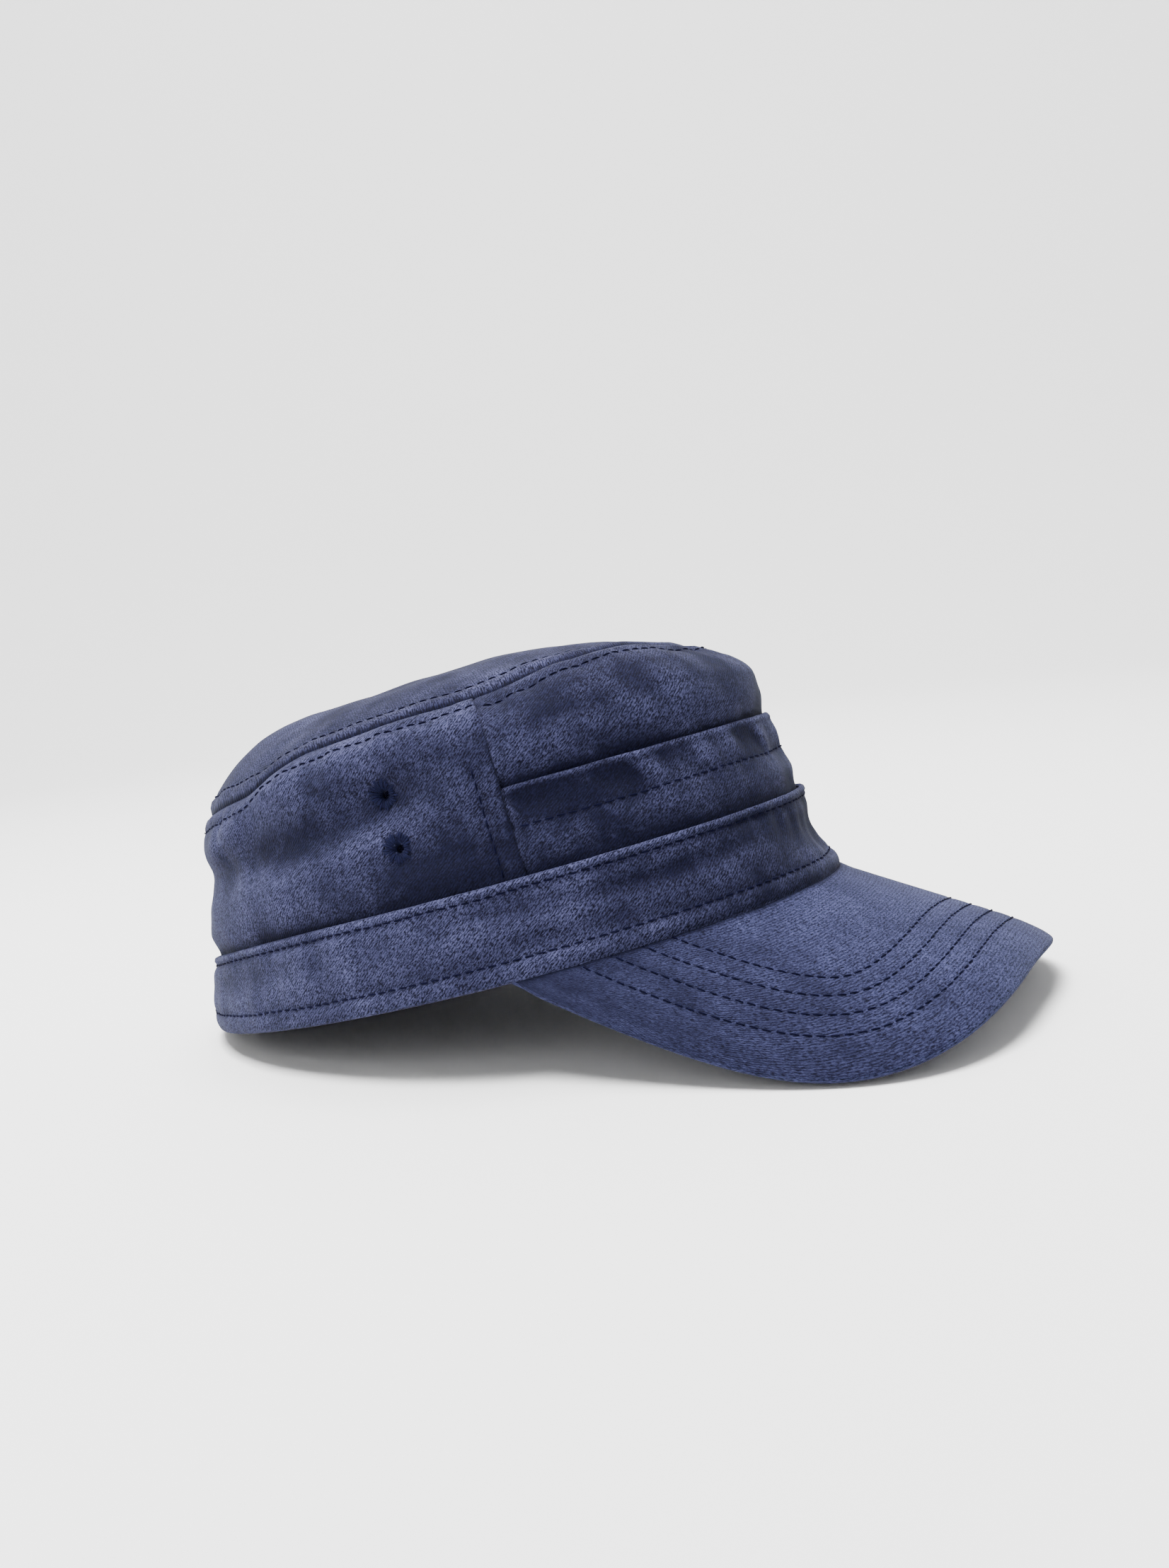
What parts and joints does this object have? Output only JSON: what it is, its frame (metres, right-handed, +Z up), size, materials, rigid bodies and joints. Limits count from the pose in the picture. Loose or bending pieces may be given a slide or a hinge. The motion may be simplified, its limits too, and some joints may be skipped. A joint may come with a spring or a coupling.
{
  "type": "field cap",
  "caption": "Short-brimmed cloth field cap with a flat-sided sewn crown, a folded band, a tuck across the front and sewn air holes.",
  "frame": {"origin": "centre of the bounding box at its base, on the surface that the cap rests on", "axes": "+Z up from the surface, front of the cap and its brim towards -Y, wearer's left towards +X"},
  "size_m": [0.164, 0.2626, 0.1107],
  "materials": {
    "crown_twill": "washed, matte, mottled cotton twill",
    "brim_twill": "washed, matte cotton twill over a stiff brim",
    "thread": "dark sewing thread, slight sheen"
  },
  "bodies": {
    "root": {"band": "crown_twill", "front_lower": "crown_twill", "front_upper": "crown_twill", "side_panel_right": "crown_twill", "side_panel_left": "crown_twill", "top_panel": "crown_twill", "brim": "brim_twill", "eyelet_right_upper": "thread", "eyelet_right_lower": "thread", "eyelet_left_upper": "thread", "eyelet_left_lower": "thread"}
  },
  "joints": []
}
